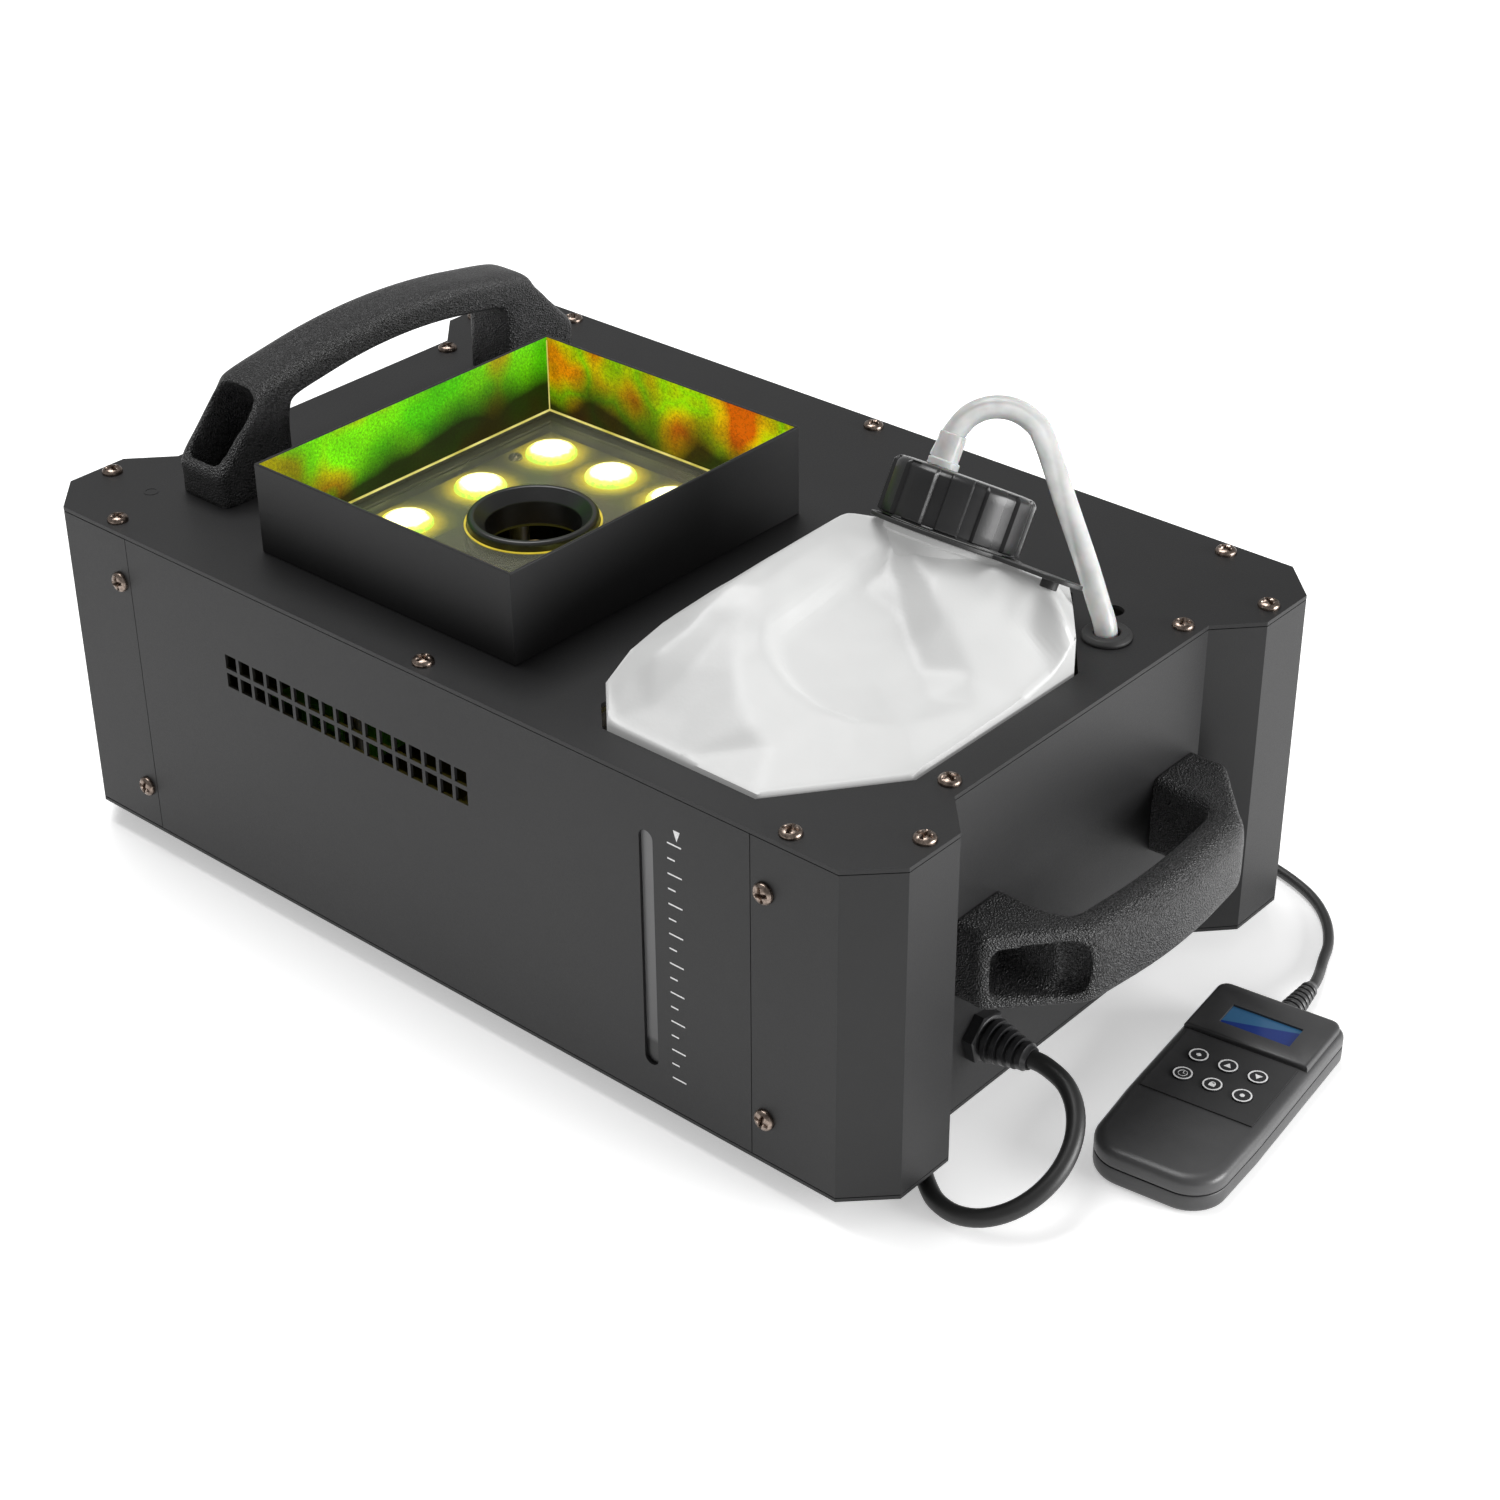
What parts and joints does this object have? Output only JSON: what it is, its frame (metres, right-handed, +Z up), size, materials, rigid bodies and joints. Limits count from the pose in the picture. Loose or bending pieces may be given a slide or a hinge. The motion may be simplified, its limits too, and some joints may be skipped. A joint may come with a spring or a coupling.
{
  "type": "fog machine",
  "caption": "Low black fog machine that blows upwards through a lit hood, with a carrying handle on its top and end, a lift-out fluid bottle and a wired remote control.",
  "frame": {"origin": "On the floor under the middle of the box around the housing, its end handle and the remote, cords not counted.", "axes": "+Z is up. +X runs along the housing from the top handle's end to the end handle and the mains cord. -Y is the front with the vents and the level slot, +Y is the back with the rocker and the remote's socket."},
  "size_m": [0.474, 0.3558, 0.2185],
  "materials": {
    "coated_steel": "black fine-textured powder coat",
    "base_steel": "black paint",
    "screw_steel": "yellow-passivated zinc",
    "plated_steel": "zinc plated",
    "foot_rubber": "matt black rubber",
    "handle_plastic": "black moulded plastic with a leather grain",
    "clear_acrylic": "clear acrylic",
    "board": "green circuit board",
    "light_board": "dark circuit board",
    "lens": "clear lens over a lit emitter",
    "nozzle_brass": "turned brass",
    "heater_alloy": "cast aluminium",
    "pale_plastic": "moulded nylon",
    "coil_winding": "taped copper winding",
    "copper_pipe": "drawn copper",
    "bottle_plastic": "translucent natural polyethylene",
    "cap_plastic": "black moulded plastic",
    "clear_plastic": "clear flexible plastic",
    "rocker_red": "red moulded plastic",
    "cord_rubber": "black flexible sheath",
    "remote_plastic": "black moulded plastic",
    "remote_pad": "dark printed film",
    "screen": "blue backlit liquid crystal",
    "button_plastic": "dark silicone rubber with a pale printed ring"
  },
  "bodies": {
    "housing": {"base_tray": "base_steel", "rubber_feet": "foot_rubber", "front_panel": "coated_steel", "back_panel": "coated_steel", "left_end_shell": "coated_steel", "right_end_shell": "coated_steel", "top_cover": "coated_steel", "top_screws": "screw_steel", "side_screws": "screw_steel", "top_handle": "handle_plastic", "end_handle": "handle_plastic", "handle_screws": "screw_steel", "light_hood": "coated_steel", "acrylic_cover": "clear_acrylic", "led_board": "light_board", "led_lenses": "lens", "light_posts": "plated_steel", "light_screws": "screw_steel", "nozzle_collar": "handle_plastic", "nozzle": "nozzle_brass", "heater_block": "heater_alloy", "heater_stand": "plated_steel", "thermostat": "pale_plastic", "pump_body": "pale_plastic", "pump_coil": "coil_winding", "pump_spring": "plated_steel", "delivery_tube": "copper_pipe", "feed_tube": "bottle_plastic", "bottle_cradle": "base_steel", "hose_grommet": "foot_rubber", "control_board": "board", "transformer": "plated_steel", "rocker_frame": "handle_plastic", "remote_socket": "handle_plastic", "cable_gland": "handle_plastic", "mains_cord": "cord_rubber", "mains_coil": "cord_rubber", "mains_plug": "cord_rubber", "remote_lower_shell": "remote_plastic", "remote_upper_shell": "remote_plastic", "remote_screen": "screen", "remote_keypad": "remote_pad", "remote_cord": "cord_rubber", "remote_coil": "cord_rubber", "remote_plug": "cord_rubber"},
    "bottle": {"fluid_bottle": "bottle_plastic", "cap_disc": "cap_plastic", "cap_ring": "cap_plastic", "hose_fitting": "clear_plastic", "fluid_hose": "clear_plastic", "pickup_tube": "bottle_plastic"},
    "cap": {"bottle_cap": "cap_plastic"},
    "rocker": {"power_rocker": "rocker_red"},
    "plunger": {"pump_plunger": "plated_steel"},
    "menu_key": {"button_menu": "button_plastic"},
    "up_key": {"button_up": "button_plastic"},
    "down_key": {"button_down": "button_plastic"},
    "timer_key": {"button_timer": "button_plastic"},
    "lock_key": {"button_lock": "button_plastic"},
    "fog_key": {"button_fog": "button_plastic"}
  },
  "joints": [
    {"name": "bottle_lift", "type": "slide", "parent": "housing", "child": "bottle", "axis": [0, 0, 1], "range_m": [0, 0.1]},
    {"name": "cap_turn", "type": "hinge", "parent": "bottle", "child": "cap", "pos_m": [0.075, 0.018, 0.1654], "axis": [0, 0.515, 0.8572], "range_deg": [0, 540]},
    {"name": "rocker_tilt", "type": "hinge", "parent": "housing", "child": "rocker", "pos_m": [-0.137, 0.121, 0.062], "axis": [1, 0, 0], "range_deg": [0, 16]},
    {"name": "plunger_stroke", "type": "slide", "parent": "housing", "child": "plunger", "axis": [0, 0, 1], "range_m": [-0.004, 0], "stiffness_N_per_m": 400, "springref_m": 0.001, "deforming": ["pump_spring"]},
    {"name": "menu_press", "type": "slide", "parent": "housing", "child": "menu_key", "axis": [0, 0, -1], "range_m": [0, 0.0005], "stiffness_N_per_m": 800, "springref_m": -0.0002},
    {"name": "up_press", "type": "slide", "parent": "housing", "child": "up_key", "axis": [0, 0, -1], "range_m": [0, 0.0005], "stiffness_N_per_m": 800, "springref_m": -0.0002},
    {"name": "down_press", "type": "slide", "parent": "housing", "child": "down_key", "axis": [0, 0, -1], "range_m": [0, 0.0005], "stiffness_N_per_m": 800, "springref_m": -0.0002},
    {"name": "timer_press", "type": "slide", "parent": "housing", "child": "timer_key", "axis": [0, 0, -1], "range_m": [0, 0.0005], "stiffness_N_per_m": 800, "springref_m": -0.0002},
    {"name": "lock_press", "type": "slide", "parent": "housing", "child": "lock_key", "axis": [0, 0, -1], "range_m": [0, 0.0005], "stiffness_N_per_m": 800, "springref_m": -0.0002},
    {"name": "fog_press", "type": "slide", "parent": "housing", "child": "fog_key", "axis": [0, 0, -1], "range_m": [0, 0.0005], "stiffness_N_per_m": 800, "springref_m": -0.0002}
  ]
}
